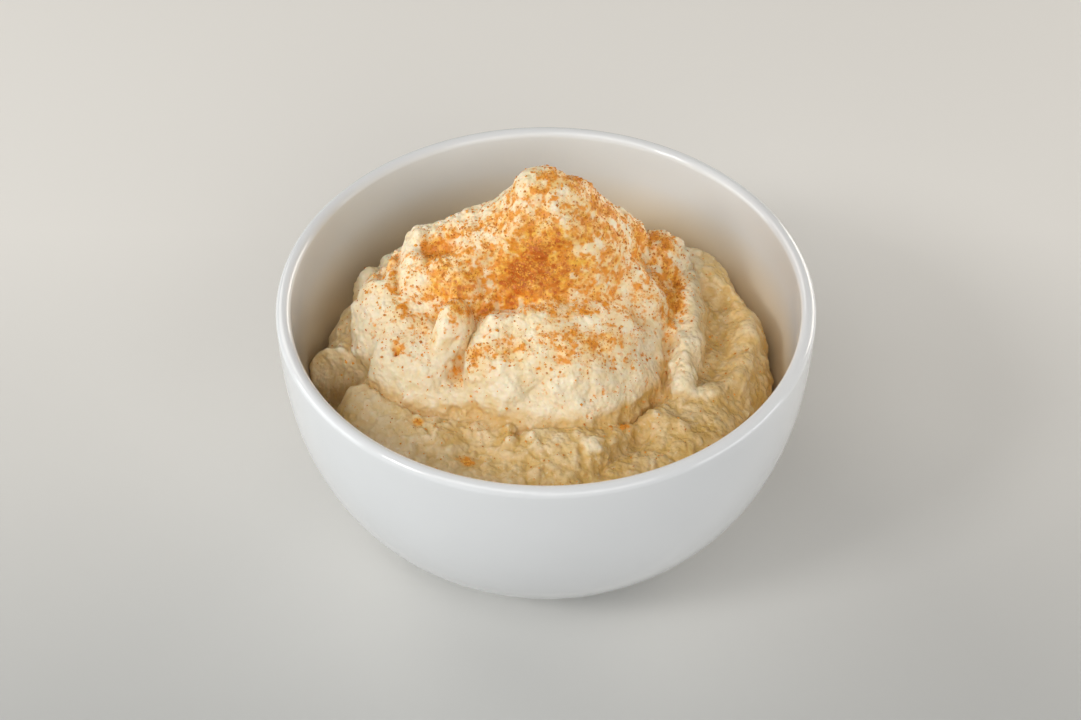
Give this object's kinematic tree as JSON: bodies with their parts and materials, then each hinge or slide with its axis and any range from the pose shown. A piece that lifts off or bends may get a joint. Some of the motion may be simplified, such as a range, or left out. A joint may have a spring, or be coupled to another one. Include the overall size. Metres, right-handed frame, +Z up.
{
  "type": "bowl of hummus",
  "caption": "Hummus heaped above the rim of a small round white porcelain bowl, spooned into rough folds and dusted with paprika.",
  "frame": {"origin": "centre of the foot ring's base, on the surface that the bowl stands on", "axes": "+Z up along the bowl's turned axis; -Y is the side that the front lobe of the heap faces"},
  "size_m": [0.12, 0.12, 0.0841],
  "materials": {
    "porcelain": "glossy white glaze",
    "hummus": "moist grainy chickpea paste",
    "paprika": "dry ground spice"
  },
  "bodies": {
    "root": {"bowl": "porcelain", "hummus": "hummus"}
  },
  "joints": []
}
